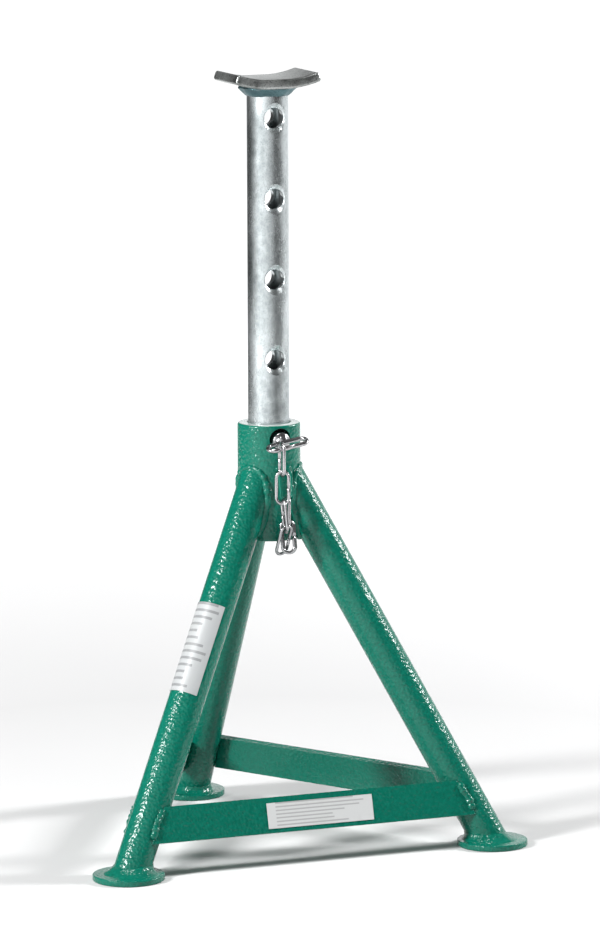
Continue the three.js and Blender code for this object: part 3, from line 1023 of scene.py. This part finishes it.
def add_floor():
    half = FLOOR_HALF
    points = [(-half, -half, 0), (half, -half, 0), (half, half, 0), (-half, half, 0)]
    floor = add_object("floor", points, [(0, 1, 2, 3)])
    floor.location.z = -FLOOR_DROP
    floor.data.materials.append(floor_material())


def add_surround():
    rings = [
        [
            Vector((SURROUND_RADIUS * math.cos(a), SURROUND_RADIUS * math.sin(a), z))
            for a in circle_angles(ROUND)
        ]
        for z in SURROUND_HEIGHTS
    ]
    points = rings[0] + rings[1]
    faces = []
    for side in range(ROUND):
        after = (side + 1) % ROUND
        faces.append((side, after, ROUND + after, ROUND + side))
    surround = add_object("surround", points, faces)
    surround.rotation_euler.z = CAMERA_AZIMUTH
    surround.data.materials.append(surround_material())
    surround.visible_camera = False
    surround.visible_diffuse = False
    surround.visible_shadow = False
    surround.visible_transmission = False


def add_softbox(name, azimuth, elevation, distance, size, power):
    """An area light that faces the middle of the stand."""
    light = bpy.data.lights.new(name, "AREA")
    light.shape = "RECTANGLE"
    light.size, light.size_y = size
    light.energy = power
    made = bpy.data.objects.new(name, light)
    bpy.context.scene.collection.objects.link(made)
    turn = CAMERA_AZIMUTH + math.radians(azimuth)
    lift = math.radians(elevation)
    out = Vector((math.sin(turn) * math.cos(lift), -math.cos(turn) * math.cos(lift), math.sin(lift)))
    made.location = LIGHT_TARGET + out * distance
    made.rotation_euler = out.to_track_quat("Z", "Y").to_euler()


def add_world():
    world = bpy.data.worlds.new("studio")
    world.use_nodes = True
    tree = world.node_tree
    background = tree.nodes["Background"]
    direction = node(tree, "ShaderNodeTexCoord").outputs["Generated"]
    height = node(tree, "ShaderNodeSeparateXYZ", {0: direction}).outputs[2]
    tone = blend_colors(tree, spread(tree, height, -0.1, 0.7), (0.3, 0.3, 0.31, 1), (1, 1, 1, 1))
    tree.links.new(tone, background.inputs[0])
    background.inputs[1].default_value = WORLD_STRENGTH
    bpy.context.scene.world = world


def add_camera():
    data = bpy.data.cameras.new("camera")
    data.lens = CAMERA_LENS
    data.sensor_width = CAMERA_SENSOR
    camera = bpy.data.objects.new("camera", data)
    bpy.context.scene.collection.objects.link(camera)
    aim_x, aim_z = CAMERA_AIM
    back = CAMERA_DISTANCE * math.cos(CAMERA_PITCH)
    lift = aim_z + CAMERA_DISTANCE * math.sin(CAMERA_PITCH)
    swing = Matrix.Rotation(CAMERA_AZIMUTH, 4, "Z")
    place = POST_AXIS + swing @ Vector((aim_x, -back, lift))
    tip = Matrix.Rotation(math.pi / 2 - CAMERA_PITCH, 4, "X")
    roll = Matrix.Rotation(CAMERA_ROLL, 4, "Z")
    camera.matrix_world = Matrix.Translation(place) @ swing @ tip @ roll
    bpy.context.scene.camera = camera


def light_scene():
    add_world()
    for name, box in SOFTBOXES.items():
        add_softbox(name, **box)
    view = bpy.context.scene.view_settings
    view.view_transform = "Standard"
    view.look = "None"
    view.exposure = 0.0


def write_sizes():
    def plain(box):
        return [[float(value) for value in corner] for corner in box]


looks = make_materials()
dress_frame(looks)
dress_post(looks)
dress_pin(looks)
dress_chain(looks)
add_floor()
add_surround()
light_scene()
add_camera()
write_sizes()
